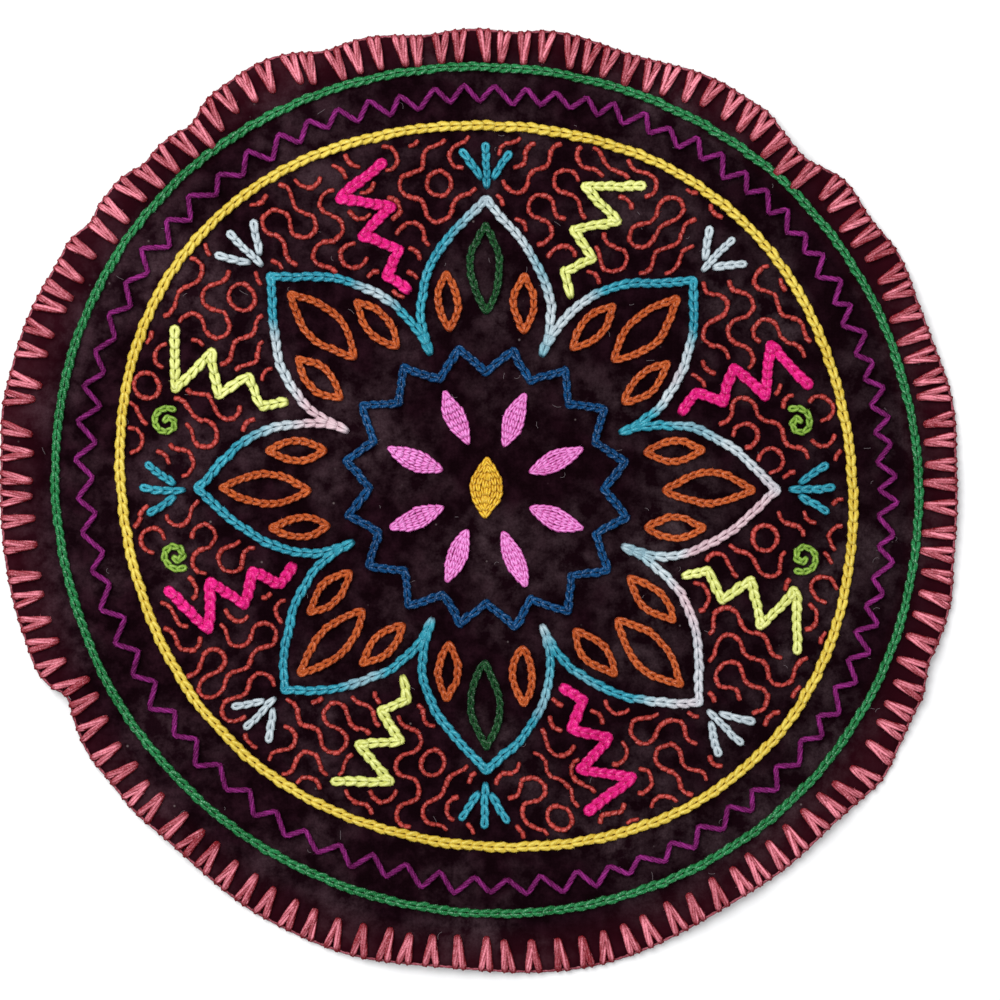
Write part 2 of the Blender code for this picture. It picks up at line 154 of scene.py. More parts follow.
def edge_radius(bearing):
    """How far out the rim is at bearings in radians: the solid cloth's rim with its small kinks."""
    radius = np.interp(bearing, RIM_BEARING, RIM_RADIUS, period=2 * math.pi)
    for bearing_deg, out_mm, width_deg in RIM_KINKS:
        away = (np.degrees(bearing) - bearing_deg + 180) % 360 - 180
        radius = radius + out_mm * MM * np.exp(-((away / width_deg) ** 2))
    return radius


def eased(value, start, end):
    """0 before start, 1 after end, and smooth between."""
    share = np.clip((value - start) / (end - start), 0, 1)
    return share * share * (3 - 2 * share)


def cloth_face(plan):
    """The height of the cloth's upper face at plan points, measured from the design's centre."""
    x, y = plan[..., 0], plan[..., 1]
    radius, bearing = np.hypot(x, y), np.arctan2(y, x)
    edge = edge_radius(bearing)
    lift = np.interp(bearing, RIM_BEARING, RIM_LIFT, period=2 * math.pi)
    reach = np.clip((radius - LIFT_START) / (edge - LIFT_START), 0, 1.1)
    height = CLOTH_FACE + EDGE_CURL * eased(radius, FLAT_RADIUS, LIFT_START) + lift * reach**LIFT_CURVE
    between_wedges = -np.cos(WEDGES * crowded(bearing, -WEDGE_CROWD, WEDGE_CROWD_BEARING))
    height = height + PUCKER * eased(reach, 0.45, 1.0) * between_wedges
    rings = ((GREEN_RADIUS, GREEN_WANDER), (PURPLE_RADIUS, PURPLE_WANDER), (YELLOW_RADIUS, YELLOW_WANDER))
    for ring_radius, wander in rings:
        away = (radius - wandering(ring_radius, wander, bearing)) / TROUGH_WIDTH
        height = height - TROUGH_DEPTH * np.exp(-away * away)
    for x_mm, y_mm, bearing_deg, length_mm, width_mm, height_mm in CREASES:
        way = math.radians(bearing_deg)
        dx, dy = x - x_mm * MM, y - y_mm * MM
        along = (dx * math.cos(way) + dy * math.sin(way)) / (length_mm * MM / 2)
        across = (dy * math.cos(way) - dx * math.sin(way)) / (width_mm * MM)
        height = height + height_mm * MM * np.exp(-(along**2) - across**2)
    return height


def on_cloth(plan, height=0.0):
    """Points on the cloth in the mat's frame, from plan points measured from the design's centre."""
    plan = np.asarray(plan)
    return np.column_stack((plan + RING_CENTRE, cloth_face(plan) + height))


def shown(name, mesh):
    """A new object in the scene, at the origin."""
    thing = bpy.data.objects.new(name, mesh)
    bpy.context.scene.collection.objects.link(thing)
    return thing


def made_plain(maker, name):
    """A plain mesh object, as the maker's modifiers leave it. The maker is then taken away."""
    bpy.context.view_layer.update()
    graph = bpy.context.evaluated_depsgraph_get()
    mesh = bpy.data.meshes.new_from_object(maker.evaluated_get(graph))
    mesh.name = name
    bpy.data.objects.remove(maker)
    return shown(name, mesh)


def add_node(tree, kind, inputs=(), **named):
    """A node whose inputs are values or other nodes' outputs. Of the named ones, those with a capital
    are inputs, with _ for each space, and the rest are the node's own settings."""
    made = tree.nodes.new(kind)
    inputs = dict(inputs)
    for name, value in named.items():
        if name[0].isupper():
            inputs[name.replace("_", " ")] = value
        else:
            setattr(made, name, value)
    for key, value in inputs.items():
        if isinstance(value, bpy.types.NodeSocket):
            tree.links.new(value, made.inputs[key])
        else:
            made.inputs[key].default_value = value
    return made


def first_of(tree, kind, inputs=(), **named):
    """The first output of a new node."""
    return add_node(tree, kind, inputs, **named).outputs[0]


def maths(operation, *values):
    """The output of a Math node, in the tree of whichever value is another node's output."""
    tree = next(value.id_data for value in values if isinstance(value, bpy.types.NodeSocket))
    return first_of(tree, "ShaderNodeMath", enumerate(values), operation=operation)


def times(*values):
    """The product of numbers and nodes' outputs."""
    return reduce(lambda first, second: maths("MULTIPLY", first, second), values)


def plus(*values):
    """The sum of numbers and nodes' outputs."""
    return reduce(lambda first, second: maths("ADD", first, second), values)


def vectors(operation, first, inputs=(), result=0):
    """An output of a Vector Math node on another node's output."""
    given = {0: first, **dict(inputs)}
    return add_node(first.id_data, "ShaderNodeVectorMath", given, operation=operation).outputs[result]


def axis_of(vector, axis):
    """One axis of a node's vector output."""
    return add_node(vector.id_data, "ShaderNodeSeparateXYZ", Vector=vector).outputs[axis]


def noise(place, scale, detail=2.0, roughness=0.5):
    """The strength of a noise at a place."""
    inputs = {"Vector": place, "Scale": scale, "Detail": detail, "Roughness": roughness}
    return first_of(place.id_data, "ShaderNodeTexNoise", inputs)


def blended(tree, share, first, second):
    """A colour from the first to the second, by share. A colour is linear red, green and blue."""
    ends = [end if isinstance(end, bpy.types.NodeSocket) else (*end, 1.0) for end in (first, second)]
    return first_of(tree, "ShaderNodeMixRGB", Fac=share, Color1=ends[0], Color2=ends[1])


def spread_over(value, low, high):
    """A value taken from low to high, spread over 0 to 1 and held there."""
    inputs = {"Value": value, "From Min": low, "From Max": high}
    return first_of(value.id_data, "ShaderNodeMapRange", inputs, clamp=True)


def soft_finish(name, roughness, shine=0.0, sheen=0.0, colour=(1.0, 1.0, 1.0)):
    """A matt finish in one colour."""
    material = bpy.data.materials.new(name)
    material.use_nodes = True
    shader = material.node_tree.nodes["Principled BSDF"].inputs
    shader["Base Color"].default_value = (*colour, 1.0)
    shader["Roughness"].default_value = roughness
    shader["Specular IOR Level"].default_value = shine
    shader["Sheen Weight"].default_value = sheen
    shader["Sheen Roughness"].default_value = 0.6
    shader["Sheen Tint"].default_value = (*colour, 1.0)
    return material


def textured(tree, colour, height, strength, distance):
    """Gives a finish a colour of its own at each place, and a bump of this height."""
    shader = tree.nodes["Principled BSDF"].inputs
    bump = first_of(tree, "ShaderNodeBump", Strength=strength, Distance=distance, Height=height)
    tree.links.new(colour, shader["Base Color"])
    tree.links.new(bump, shader["Normal"])


def dark_cotton():
    """Plain weave in dark maroon-black, redder near the rim, paler in soft patches towards the rim and most
    of all at the left, where the paleness is painted light from the upper left, with specks of pale lint."""
    material = soft_finish("dark_cotton", 0.95)
    tree = material.node_tree
    place = add_node(tree, "ShaderNodeTexCoord").outputs["Object"]
    threads = {"Vector": place, "Scale": 2 * math.pi / 20 / THREAD_PITCH, "Distortion": 0.6, "Detail": 1.0}
    warp, weft = (add_node(tree, "ShaderNodeTexWave", threads, bands_direction=way) for way in "XY")
    weave = times(warp.outputs["Fac"], weft.outputs["Fac"])
    out = vectors("LENGTH", place, result="Value")
    # Painted light: the cloth is made paler towards the left, where the light falls from the upper left.
    painted_light_from_left = spread_over(axis_of(place, "X"), 0.18, -0.2)
    grain = noise(place, 900.0)
    mottle = spread_over(noise(place, 85.0, 4.0, 0.65), 0.40, 0.64)
    patches = spread_over(noise(place, 15.0, 3.0, 0.6), 0.45, 0.74)
    # The patches grow paler towards the rim and, as painted light, towards the left, where the mottle also
    # shows more.
    paler_to_rim_and_left = plus(times(spread_over(out, 0.18, 0.24), 0.35), times(painted_light_from_left, 0.5), 0.12)
    mottled = times(mottle, plus(times(painted_light_from_left, 0.16), 0.22))
    tone = plus(times(grain, 0.2), times(patches, paler_to_rim_and_left, 0.42), mottled)
    cloth = blended(tree, maths("POWER", tone, 1.7), (0.0031, 0.0007, 0.0015), (0.057, 0.0165, 0.029))
    cloth = blended(tree, times(weave, 0.15), cloth, (0.022, 0.0075, 0.012))
    cloth = blended(tree, times(grain, 0.6, patches, mottle), cloth, (0.115, 0.085, 0.092))
    cloth = blended(tree, times(spread_over(out, 0.222, 0.245), 0.6), cloth, (0.036, 0.0035, 0.0075))
    specks = add_node(tree, "ShaderNodeTexVoronoi", feature="F1", Vector=place, Scale=95.0).outputs
    chosen = spread_over(specks["Color"], 0.55, 0.75)
    lint = times(spread_over(specks["Distance"], 0.075, 0.03), chosen, 0.5)
    cloth = blended(tree, lint, cloth, (0.22, 0.17, 0.17))
    textured(tree, cloth, plus(weave, times(grain, 0.5)), 0.5, 0.15 * MM)
    return material


def make_ground_cloth():
    """The panel: rows of points from the middle out to the rim, given the cotton's thickness."""
    columns = COLUMNS_TO_A_WEDGE * WEDGES
    bearing = crowded(np.arange(columns) * 2 * math.pi / columns, WEDGE_CROWD, WEDGE_CROWD_BEARING)
    plan = [np.zeros((1, 2))]
    for row in range(1, CLOTH_ROWS + 1):
        plan.append(polar(edge_radius(bearing) * row / CLOTH_ROWS, bearing))
    points = on_cloth(np.concatenate(plan))
    faces = []
    for i in range(columns):
        j = (i + 1) % columns
        faces.append((0, 1 + i, 1 + j))
        for row in range(CLOTH_ROWS - 1):
            inner, outer = 1 + row * columns, 1 + (row + 1) * columns
            faces.append((inner + i, outer + i, outer + j, inner + j))
    mesh = bpy.data.meshes.new("cotton_panel")
    mesh.from_pydata(points.tolist(), [], faces)
    mesh.shade_smooth()
    mesh.materials.append(dark_cotton())
    maker = shown("cotton_panel_maker", mesh)
    solidify = maker.modifiers.new("thickness", "SOLIDIFY")
    solidify.thickness = CLOTH_THICKNESS
    solidify.offset = -1
    return made_plain(maker, "cotton_panel")


ground_cloth = make_ground_cloth()
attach(ground_cloth, "root")
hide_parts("ground_cloth")

# The yellow ring
# A closed ring of chain stitch in thick twisted yarn. Each stitch is a loop held down by the next
# one, which comes up inside its end, and a short stitch shows on the back of the cloth.
CHAIN_YARN_HEIGHT = 1.65 * MM
CHAIN_PLIES = 3
CHAIN_LAY = 6.0 * MM
YARN_SIDES = 6
BACK_STITCH_WIDTH = 1.7 * MM
BACK_STITCH_HEIGHT = 0.45 * MM
UNEVEN_HAND = 1.0
UNEVENNESS = 0.09

# A chain's width, and its pitch from stitch to stitch. Every other chain on the mat has such a pair.
YELLOW_CHAIN = (5.4 * MM, 5.8 * MM)

# Stray ends of fibre stand off the yarn all over.
FIBRE_LENGTH = 1.1 * MM
FIBRE_WIDTH = 0.11 * MM
FIBRES_TO_A_SQUARE_METRE = 300000.0
FIBRE_LIFT = (0.2, 0.75)

# Half of a loop of chain, from where it comes up to its far end: along in pitches, out in shares of
# the loop's half width, and up in yarn heights.
LOOP_HALF = (
    # along, out, up
    (-0.06, 0.22, -0.20),
    (0.16, 0.54, 1.05),
    (0.48, 0.88, 0.95),
    (0.84, 1.12, 0.60),
    (1.09, 0.80, 0.38),
    (1.19, 0.0, 0.30),
)


def yarn_tube(name, points, half_width, half_height):
    """A length of flattened yarn along points, closed at its ends, with its twist laid out as a UV map."""
    points = np.array(points)
    ways = np.gradient(points, axis=0)
    ways /= np.linalg.norm(ways, axis=1)[:, None]
    sides = np.column_stack((-ways[:, 1], ways[:, 0], np.zeros(len(ways))))
    sides /= np.linalg.norm(sides, axis=1)[:, None]
    ups = np.cross(ways, sides)
    turns = 2 * math.pi * np.arange(YARN_SIDES)[:, None] / YARN_SIDES
    across, above = np.cos(turns) * half_width, np.sin(turns) * half_height
    corners = points[:, None] + sides[:, None] * across + ups[:, None] * above
    run = np.concatenate(([0.0], np.cumsum(np.linalg.norm(np.diff(points, axis=0), axis=1)))) / CHAIN_LAY
    faces, twist = [], []
    for i in range(len(points) - 1):
        low, high = i * YARN_SIDES, (i + 1) * YARN_SIDES
        for k in range(YARN_SIDES):
            after = (k + 1) % YARN_SIDES
            faces.append((low + k, low + after, high + after, high + k))
            around, further = k / YARN_SIDES, (k + 1) / YARN_SIDES
            twist += [(run[i], around), (run[i], further), (run[i + 1], further), (run[i + 1], around)]
    faces += [tuple(reversed(range(YARN_SIDES))), tuple(range(high, high + YARN_SIDES))]
    twist += [(0.0, 0.0)] * YARN_SIDES + [(run[-1], 0.0)] * YARN_SIDES
    mesh = bpy.data.meshes.new(name)
    mesh.from_pydata(corners.reshape(-1, 3).tolist(), [], faces)
    layer = mesh.uv_layers.new(name="twist")
    for loop, place in zip(layer.data, twist):
        loop.uv = place
    mesh.shade_smooth()
    return shown(name, mesh)


def chain_loop(width, pitch, yarn_share):
    """One loop of chain stitch, along +X from where it comes up. Its two sides all but touch."""
    yarn_width = yarn_share * width
    half = (width - yarn_width) / 2
    there = [(along * pitch, out * half, up * CHAIN_YARN_HEIGHT) for along, out, up in LOOP_HALF]
    back = [(x, -y, z) for x, y, z in reversed(there[:-1])]
    return yarn_tube("chain_loop", there + back, yarn_width / 2, CHAIN_YARN_HEIGHT / 2)


def back_stitch(pitch):
    """The short flat stitch that shows on the cloth's underside."""
    low = -CLOTH_THICKNESS - 0.55 * BACK_STITCH_HEIGHT
    high = -0.6 * CLOTH_THICKNESS
    course = ((0.04, high), (0.16, low), (0.84, low), (0.96, high))
    points = [(along * pitch, 0.0, height) for along, height in course]
    return yarn_tube("back_stitch", points, BACK_STITCH_WIDTH / 2, BACK_STITCH_HEIGHT / 2)


def new_tree(name, sockets):
    """An empty Geometry Nodes tree with named inputs of each kind, and the outputs of its input node."""
    tree = bpy.data.node_groups.new(name, "GeometryNodeTree")
    for kind, labels in sockets.items():
        for label in labels:
            tree.interface.new_socket(label, in_out="INPUT", socket_type=f"NodeSocket{kind}")
    tree.interface.new_socket("Stitching", in_out="OUTPUT", socket_type="NodeSocketGeometry")
    return tree, add_node(tree, "NodeGroupInput").outputs


def chance(low, high, seed):
    """A random number between low and high for each thing."""
    inputs = {2: low, 3: high, 8: seed}
    return add_node(seed.id_data, "FunctionNodeRandomValue", inputs, data_type="FLOAT").outputs[1]


def with_tones(tree, stitching, seed, domain):
    """The stitching with a tone from 0 to 1 kept for each thing of the domain."""
    kept = {"Geometry": stitching, "Name": "tone", "Value": chance(0.0, 1.0, seed)}
    return first_of(tree, "GeometryNodeStoreNamedAttribute", kept, data_type="FLOAT", domain=domain)


def set_on(tree, thing, **places):
    """A thing set on points."""
    shape = add_node(tree, "GeometryNodeObjectInfo", Object=thing).outputs["Geometry"]
    return first_of(tree, "GeometryNodeInstanceOnPoints", Instance=shape, **places)


def turned_by(tree, rotation, turn):
    """A rotation turned further about its own axes."""
    kind = "FunctionNodeRotateRotation"
    return first_of(tree, kind, rotation_space="LOCAL", Rotation=rotation, Rotate_By=turn)


def joined(tree, *parts):
    """Pieces of geometry as one."""
    both = add_node(tree, "GeometryNodeJoinGeometry")
    for part in parts:
        tree.links.new(part, both.inputs[0])
    return both.outputs[0]


def end_tree(tree, given, stitching):
    """Puts stray ends of fibre on all that shows from above, makes it real, and sets the yarn."""
    seed = given["Seed"]
    upward = axis_of(first_of(tree, "GeometryNodeInputNormal"), "Z")
    height = axis_of(first_of(tree, "GeometryNodeInputPosition"), "Z")
    spots = add_node(
        tree,
        "GeometryNodeDistributePointsOnFaces",
        Mesh=stitching,
        Selection=times(maths("GREATER_THAN", upward, -0.2), maths("GREATER_THAN", height, CLOTH_FACE)),
        Density=FIBRES_TO_A_SQUARE_METRE,
        Seed=seed,
    ).outputs
    low, high = FIBRE_LIFT
    lift, spin = chance(-high, -low, plus(seed, 11.0)), chance(0.0, 2 * math.pi, plus(seed, 12.0))
    angles = first_of(tree, "ShaderNodeCombineXYZ", Y=lift, Z=spin)
    turn = first_of(tree, "FunctionNodeEulerToRotation", {0: angles})
    rotation, size = turned_by(tree, spots["Rotation"], turn), chance(0.5, 1.3, plus(seed, 13.0))
    ends = set_on(tree, given["Fibre"], Points=spots["Points"], Rotation=rotation, Scale=size)
    real = first_of(tree, "GeometryNodeRealizeInstances", Geometry=joined(tree, ends, stitching))
    coloured = first_of(tree, "GeometryNodeSetMaterial", Geometry=real, Material=given["Yarn"])
    add_node(tree, "NodeGroupOutput", {0: coloured})


def stitches_end_to_end():
    """The tree that sets one stitch after another along each path, and a back stitch under each."""
    sockets = {
        "Geometry": ["Paths"],
        "Object": ["Stitch", "Back Stitch", "Fibre"],
        "Float": ["Pitch", "Unevenness"],
        "Material": ["Yarn"],
        "Int": ["Seed"],
    }
    tree, given = new_tree("stitches_end_to_end", sockets)
    pitch, seed = given["Pitch"], given["Seed"]
    path = first_of(tree, "GeometryNodeMeshToCurve", Mesh=given["Paths"])
    length = first_of(tree, "GeometryNodeSplineLength")
    closed = first_of(tree, "GeometryNodeInputSplineCyclic")
    stitches = maths("MAXIMUM", maths("ROUND", maths("DIVIDE", length, pitch)), 1.0)
    count = maths("SUBTRACT", plus(stitches, 1.0), closed)
    places = first_of(tree, "GeometryNodeResampleCurve", mode="COUNT", Curve=path, Count=count)
    after = add_node(tree, "GeometryNodeOffsetPointInCurve", Offset=1).outputs
    here = first_of(tree, "GeometryNodeInputPosition")
    kind = {"domain": "POINT", "data_type": "FLOAT_VECTOR"}
    there = first_of(tree, "GeometryNodeFieldAtIndex", Index=after["Point Index"], Value=here, **kind)
    way = vectors("SUBTRACT", there, {1: here})
    kind = "FunctionNodeAlignRotationToVector"
    level = first_of(tree, kind, axis="X", Vector=way)
    upright = first_of(tree, kind, axis="Z", pivot_axis="X", Rotation=level, Vector=(0.0, 0.0, 1.0))
    sway, wider, higher = (
        times(chance(-UNEVENNESS, UNEVENNESS, plus(seed, step)), given["Unevenness"])
        for step in (0.0, 1.0, 2.0)
    )
    lean = first_of(tree, "FunctionNodeAxisAngleToRotation", Axis=(0.0, 0.0, 1.0), Angle=sway)
    longer = maths("DIVIDE", vectors("LENGTH", way, result="Value"), pitch)
    size = first_of(tree, "ShaderNodeCombineXYZ", X=longer, Y=plus(wider, 1.0), Z=plus(higher, 1.0))
    where = {"Points": places, "Rotation": turned_by(tree, upright, lean), "Scale": size}
    rows = [
        set_on(tree, given[stitch], Selection=after["Is Valid Offset"], **where)
        for stitch in ("Back Stitch", "Stitch")
    ]
    stitching = with_tones(tree, joined(tree, *rows), plus(seed, 3.0), "INSTANCE")
    end_tree(tree, given, first_of(tree, "GeometryNodeRealizeInstances", Geometry=stitching))
    return tree


END_TO_END = stitches_end_to_end()


def stitch_paths(name, paths, closed=False):
    """A mesh of edges alone, one run for each path."""
    points, edges = [], []
    for path in paths:
        first = len(points)
        points += [tuple(point) for point in path]
        edges += [(i, i + 1) for i in range(first, len(points) - 1)]
        if closed:
            edges.append((len(points) - 1, first))
    mesh = bpy.data.meshes.new(name)
    mesh.from_pydata(points, edges, [])
    return shown(name, mesh)


def fibre_end():
    """The end of a stray fibre: one thin blade along +X."""
    mesh = bpy.data.meshes.new("fibre_end")
    corners = [(0, -FIBRE_WIDTH / 2, 0), (FIBRE_LENGTH, 0, 0), (0, FIBRE_WIDTH / 2, 0)]
    mesh.from_pydata(corners, [], [(0, 1, 2)])
    return shown("fibre_end", mesh)


def work(name, tree, paths, closed=False, **settings):
    """Works a piece of stitching along its paths with a tree, and leaves it as a plain mesh."""
    maker = stitch_paths(f"{name}_paths", paths, closed)
    modifier = maker.modifiers.new("stitching", "NODES")
    modifier.node_group = tree
    settings["Fibre"] = fibre_end()
    for item in tree.interface.items_tree:
        key = item.name.replace(" ", "_")
        if item.in_out == "INPUT" and key in settings:
            modifier[item.identifier] = settings[key]
    piece = made_plain(maker, name)
    bpy.data.objects.remove(settings["Fibre"])
    return piece


def work_stitches(name, paths, stitch, pitch, yarn, seed, closed=False, unevenness=UNEVEN_HAND):
    """Sets a stitch end to end along each path. The stitch itself is then taken away."""
    back = back_stitch(pitch)
    shapes = {"Stitch": stitch, "Back_Stitch": back}
    sizes = {"Pitch": pitch, "Unevenness": unevenness}
    piece = work(name, END_TO_END, paths, closed, Yarn=yarn, Seed=seed, **shapes, **sizes)
    bpy.data.objects.remove(stitch)
    bpy.data.objects.remove(back)
    return piece


def spun_yarn(name, deep, bright, colour_at=None, glint_strength=0.5, toned=0.25, depth=1.1):
    """Thick soft yarn with painted shade at its sides and between its plies, painted light on the plies'
    crowns, pale painted glints on plies and fibres, and tones that change from stitch to stitch."""
    material = soft_finish(name, 0.9, 0.04, 0.03, bright)
    tree = material.node_tree
    place = add_node(tree, "ShaderNodeTexCoord").outputs["Object"]
    twist = first_of(tree, "ShaderNodeUVMap", uv_map="twist")
    turns = plus(times(axis_of(twist, "Y"), float(CHAIN_PLIES)), axis_of(twist, "X"))
    ply_height = plus(times(maths("SINE", times(turns, 2 * math.pi)), 0.5), 0.5)
    tone = add_node(tree, "ShaderNodeAttribute", attribute_name="tone").outputs["Fac"]
    cloud = spread_over(noise(place, 240.0, 3.0, 0.6), 0.3, 0.7)
    fibres = spread_over(noise(place, 1500.0, 2.0, 0.7), 0.3, 0.7)
    drift = spread_over(noise(place, 13.0), 0.35, 0.65)
    share = times(tone, toned)
    # Painted light and shade: the ply crowns get more of the bright colour and the grooves between plies
    # more of the deep one. The cloud, drift, fibre and tone terms are the yarn's own tones.
    for part, weight in ((cloud, 0.2), (drift, 0.2), (ply_height, 0.3), (fibres, 0.3)):
        share = plus(times(part, weight), share)
    # Painted shade: the yarn's sides, which face away from the light above, are darkened.
    upward = maths("ABSOLUTE", axis_of(add_node(tree, "ShaderNodeNewGeometry").outputs["Normal"], "Z"))
    level = plus(times(spread_over(upward, 0.3, 0.98), 0.9), 0.1)
    # The deep colour stands for painted shade and the bright one for painted light, with the yarn's own
    # tones between.
    low, high = colour_at(tree, place) if colour_at else (deep, bright)
    # Painted highlights: pale glints where the ply crowns and fibres stand highest.
    painted_glints = spread_over(plus(times(ply_height, 0.35), fibres), 0.85, 1.25)
    pale = blended(tree, 0.3, high, (1.0, 1.0, 1.0))
    colour = blended(tree, maths("POWER", times(share, level), depth), low, high)
    colour = blended(tree, times(painted_glints, glint_strength), colour, pale)
    textured(tree, colour, plus(ply_height, times(fibres, 0.6)), 0.8, 0.25 * MM)
    return material


def sewn(piece, slot, *nodes):
    """The piece is sewn to the cloth and stands for these solids, which are hidden. The slot is not used.
    """
    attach(piece, "root")
    if nodes:
        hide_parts(*nodes)


def nodes_named(start):
    """The solids whose names start so."""
    return sorted(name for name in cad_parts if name.startswith(start))


def sew_chain(name, nodes, lines, size, yarn, seed, closed=False, yarn_share=0.50):
    """Chain stitch of one width and pitch along each line of the plan, sewn on for these solids. The slot,
    the yarn's name without the number that Blender may add, is passed on but not used."""
    width, pitch = size
    slot = yarn.name.split(".")[0]
    paths = [on_cloth(line) for line in lines]
    loop = chain_loop(width, pitch, yarn_share)
    sewn(work_stitches(name, paths, loop, pitch, yarn, seed, closed), slot, *nodes)


def ring_line(radius, wander, steps=480):
    """A closed ring of points in plan."""
    bearing = np.arange(steps) * 2 * math.pi / steps
    return polar(wandering(radius, wander, bearing), bearing)


yellow_yarn = spun_yarn("yellow_yarn", (0.50, 0.31, 0.015), (0.88, 0.71, 0.13))
yellow_line = ring_line(YELLOW_RADIUS, YELLOW_WANDER)
sew_chain("yellow_chain", ["yellow_ring"], [yellow_line], YELLOW_CHAIN, yellow_yarn, 21, True)

# The green ring
# Another closed ring of chain stitch, a little finer than the yellow one, inside the points of the
# edge stitching.
GREEN_CHAIN = (4.8 * MM, 5.5 * MM)

# The green yarn has strong painted glints.
green_yarn = spun_yarn("green_yarn", (0.0015, 0.070, 0.009), (0.032, 0.275, 0.095), glint_strength=0.8)
green_line = ring_line(GREEN_RADIUS, GREEN_WANDER)
sew_chain("green_chain", ["green_ring"], [green_line], GREEN_CHAIN, green_yarn, 31, True)

# The purple zigzag
# Single long straight stitches of a loosely plied yarn, set corner to corner between the green and
# yellow rings. At each corner the yarn dips into the cloth and comes up again in the same hole.
PURPLE_TEETH = 77
PURPLE_SEED = 41
PURPLE_SWING = 4.6 * MM
PURPLE_YARN = 3.4 * MM
PURPLE_JITTER = 1.3 * MM
PURPLE_CROWD = 0.14
PURPLE_CROWD_BEARING = 30.0
PLY_SIDES = 5
BEHIND_WIDTH = 2.0 * MM
BEHIND_HEIGHT = 0.7 * MM

# A stitch from corner to corner: shares of its length, and its height there in yarn widths.
PURPLE_LEG = (
    # share, up
    (0.06, 0.22),
    (0.20, 0.42),
    (0.50, 0.48),
    (0.80, 0.42),
    (0.94, 0.22),
)


def plied_yarn_along_paths():
    """The tree that lays loosely twisted plies along each path, narrowed where the yarn dives."""
    sockets = {
        "Geometry": ["Paths"],
        "Object": ["Fibre"],
        "Float": ["Yarn Width", "Ply Radius", "Flatness", "Lay", "Step", "Narrowing"],
        "Material": ["Yarn"],
        "Int": ["Plies", "Seed"],
    }
    tree, given = new_tree("plied_yarn_along_paths", sockets)
    seed, plies = given["Seed"], given["Plies"]
    path = first_of(tree, "GeometryNodeMeshToCurve", Mesh=given["Paths"])
    smooth = first_of(tree, "GeometryNodeCurveSplineType", spline_type="CATMULL_ROM", Curve=path)
    fine = first_of(tree, "GeometryNodeSetSplineResolution", {0: smooth}, Resolution=4)
    even = first_of(tree, "GeometryNodeResampleCurve", mode="LENGTH", Curve=fine, Length=given["Step"])
    upright = first_of(tree, "GeometryNodeSetCurveNormal", mode="Z_UP", Curve=even)
    path = with_tones(tree, upright, seed, "CURVE")
    copies = {"Geometry": path, "Amount": plies}
    copies = add_node(tree, "GeometryNodeDuplicateElements", copies, domain="SPLINE").outputs
    tone = first_of(tree, "GeometryNodeInputNamedAttribute", data_type="FLOAT", Name="tone")
    spline = add_node(tree, "GeometryNodeSplineParameter").outputs
    ply_share = maths("DIVIDE", copies["Duplicate Index"], plies)
    turn = times(plus(maths("DIVIDE", spline["Length"], given["Lay"]), ply_share, tone), 2 * math.pi)
    ends = maths("POWER", maths("ABSOLUTE", plus(times(spline["Factor"], 2.0), -1.0)), 6.0)
    full = maths("SUBTRACT", 1.0, times(ends, given["Narrowing"]))
    out = times(maths("SUBTRACT", times(given["Yarn Width"], 0.5), given["Ply Radius"]), full)
    side = first_of(tree, "GeometryNodeInputNormal")
    up = vectors("CROSS_PRODUCT", first_of(tree, "GeometryNodeInputTangent"), {1: side})
    across = vectors("SCALE", side, {"Scale": times(maths("COSINE", turn), out)})
    above = vectors("SCALE", up, {"Scale": times(maths("SINE", turn), out, given["Flatness"])})
    shift = vectors("ADD", across, {1: above})
    strands = first_of(tree, "GeometryNodeSetPosition", Geometry=copies["Geometry"], Offset=shift)
    strands = with_tones(tree, strands, plus(seed, 1.0), "CURVE")
    round_ply = {"Resolution": PLY_SIDES, "Radius": given["Ply Radius"]}
    section = first_of(tree, "GeometryNodeCurvePrimitiveCircle", round_ply)
    tubes = {"Curve": strands, "Profile Curve": section, "Scale": full, "Fill Caps": True}
    tubes = first_of(tree, "GeometryNodeCurveToMesh", tubes)
    end_tree(tree, given, first_of(tree, "GeometryNodeSetShadeSmooth", Geometry=tubes, Shade_Smooth=True))
    return tree


PLIED = plied_yarn_along_paths()


def work_plied(name, paths, yarn_width, yarn, seed, ply=0.27, closed=False, **changes):
    """Straight or curved lengths of plied yarn, one for each path. A ply is a share of the yarn's width."""
    usual = {"Plies": 4, "Flatness": 0.7, "Lay": 15 * MM, "Step": 2.0 * MM, "Narrowing": 0.3}
    sizes = {"Yarn_Width": yarn_width, "Ply_Radius": yarn_width * ply}
    return work(name, PLIED, paths, closed, Yarn=yarn, Seed=seed, **{**usual, **sizes, **changes})


def work_behind(name, lines, yarn, seed, closed=False):
    """The same yarn where it shows on the back, pressed flat. The lines are in plan."""
    paths = [on_cloth(line, -CLOTH_THICKNESS - 0.5 * BEHIND_HEIGHT) for line in lines]
    pressed = {"Plies": 3, "Step": 4 * MM, "Flatness": 0.05, "Narrowing": 0.2}
    flat = BEHIND_HEIGHT / BEHIND_WIDTH / 2
    return work_plied(name, paths, BEHIND_WIDTH, yarn, seed, flat, closed, **pressed)


def purple_corners():
    """The zigzag's corners, each a little off its place, as in the solids."""
    hand = random.Random(PURPLE_SEED)
    corners = []
    for i in range(2 * PURPLE_TEETH):
        bearing = crowded(math.pi * i / PURPLE_TEETH, PURPLE_CROWD, PURPLE_CROWD_BEARING)
        swing = PURPLE_SWING if i % 2 else -PURPLE_SWING
        radius = wandering(PURPLE_RADIUS, PURPLE_WANDER, bearing) + swing
        off = [PURPLE_JITTER * hand.uniform(-1, 1) for _ in "xy"]
        corners.append(polar(radius, bearing) + off)
    return corners


